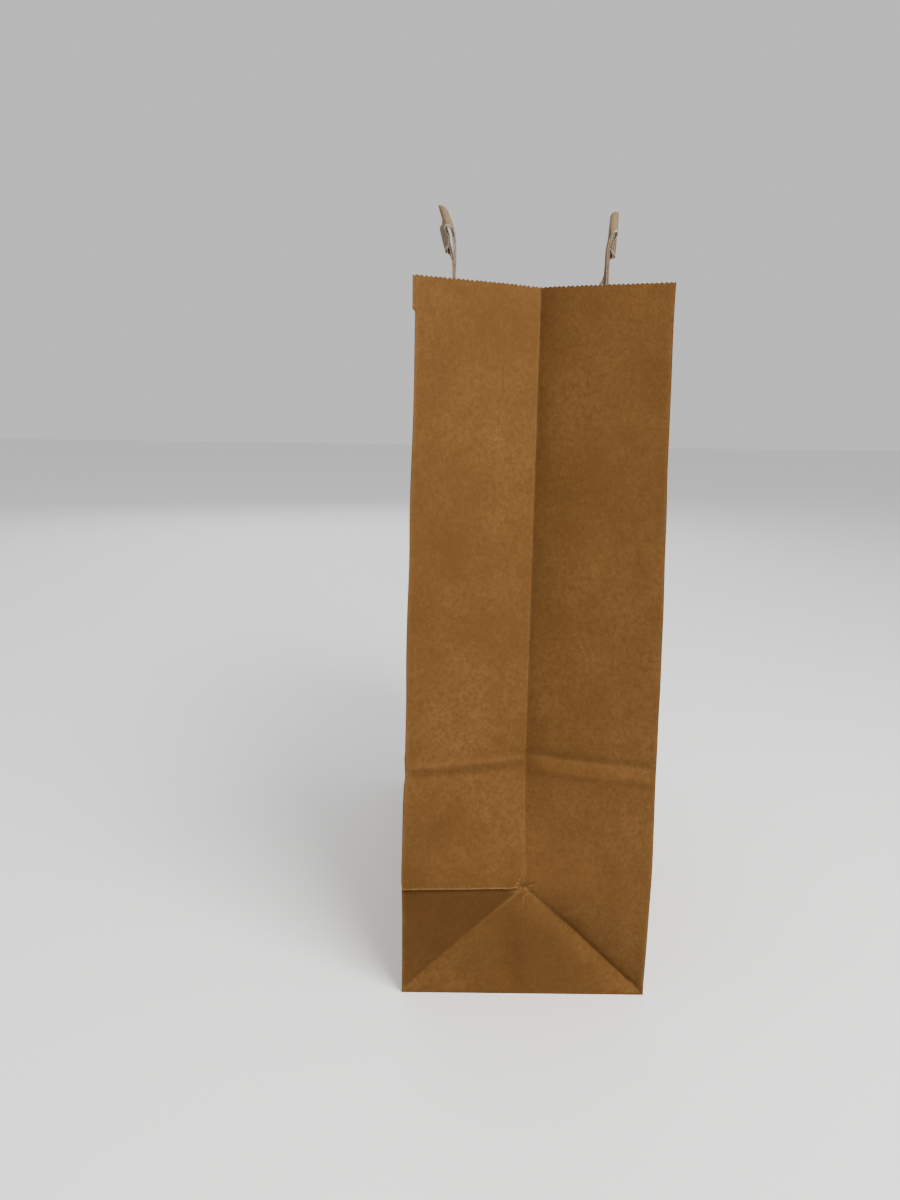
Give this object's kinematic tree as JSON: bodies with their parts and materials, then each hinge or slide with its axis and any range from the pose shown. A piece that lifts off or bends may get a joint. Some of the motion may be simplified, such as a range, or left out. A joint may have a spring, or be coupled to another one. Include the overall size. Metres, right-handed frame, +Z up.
{
  "type": "paper carrier bag",
  "caption": "Kraft paper carrier bag standing open, with folded side gussets, a folded square base and two flat folded-paper handles that swing at the rim.",
  "frame": {"origin": "middle of the base on the surface it stands on", "axes": "+X across the bag, +Y from the front wall to the back wall, +Z up"},
  "size_m": [0.3204, 0.1458, 0.4917],
  "materials": {
    "kraft": "matt brown kraft",
    "patch_paper": "matt brown kraft",
    "handle_paper": "matt greyish kraft"
  },
  "bodies": {
    "front": {"front_panel": "kraft", "front_patch": "patch_paper", "front_handle_ends": "handle_paper", "front_base_flap": "kraft", "back_base_flap": "kraft", "left_base_tuck": "kraft", "right_base_tuck": "kraft", "left_foot": "kraft", "right_foot": "kraft"},
    "left_gusset_front": {"left_gusset_front": "kraft"},
    "left_gusset_back": {"left_gusset_back": "kraft", "left_back_corner": "kraft"},
    "back": {"back_panel": "kraft", "back_panel_foot": "kraft", "back_seam_lap": "kraft", "back_patch": "patch_paper", "back_handle_ends": "handle_paper"},
    "right_gusset_front": {"right_gusset_front": "kraft"},
    "right_gusset_back": {"right_gusset_back": "kraft", "right_back_corner": "kraft"},
    "front_handle": {"front_handle": "handle_paper"},
    "back_handle": {"back_handle": "handle_paper"}
  },
  "joints": [
    {"name": "gusset_fold", "type": "hinge", "parent": "front", "child": "left_gusset_front", "pos_m": [-0.16, -0.07261, 0], "axis": [0, 0, -1], "range_deg": [0, 56], "deforming": ["front_base_flap", "back_base_flap", "left_base_tuck", "right_base_tuck", "left_foot", "right_foot"]},
    {"name": "left_valley", "type": "hinge", "parent": "left_gusset_front", "child": "left_gusset_back", "pos_m": [-0.14122, 0, 0], "axis": [0, 0, 1], "range_deg": [0, 112]},
    {"name": "left_back_crease", "type": "hinge", "parent": "left_gusset_back", "child": "back", "pos_m": [-0.16, 0.07261, 0], "axis": [0, 0, -1], "range_deg": [0, 56]},
    {"name": "right_front_crease", "type": "hinge", "parent": "front", "child": "right_gusset_front", "pos_m": [0.16, -0.07261, 0], "axis": [0, 0, 1], "range_deg": [0, 56]},
    {"name": "right_back_crease", "type": "hinge", "parent": "back", "child": "right_gusset_back", "pos_m": [0.16, 0.07261, 0], "axis": [0, 0, -1], "range_deg": [0, 56]},
    {"name": "front_handle_swing", "type": "hinge", "parent": "front", "child": "front_handle", "pos_m": [0, -0.05116, 0.433], "axis": [1, 0, 0], "range_deg": [-6, 104]},
    {"name": "back_handle_swing", "type": "hinge", "parent": "back", "child": "back_handle", "pos_m": [0, 0.05116, 0.433], "axis": [-1, 0, 0], "range_deg": [-6, 104]}
  ],
  "couplings": [
    {"joint": "left_valley", "follows": "gusset_fold", "ratio": 2},
    {"joint": "left_back_crease", "follows": "gusset_fold", "ratio": 1},
    {"joint": "right_front_crease", "follows": "gusset_fold", "ratio": 1},
    {"joint": "right_back_crease", "follows": "gusset_fold", "ratio": 1}
  ]
}
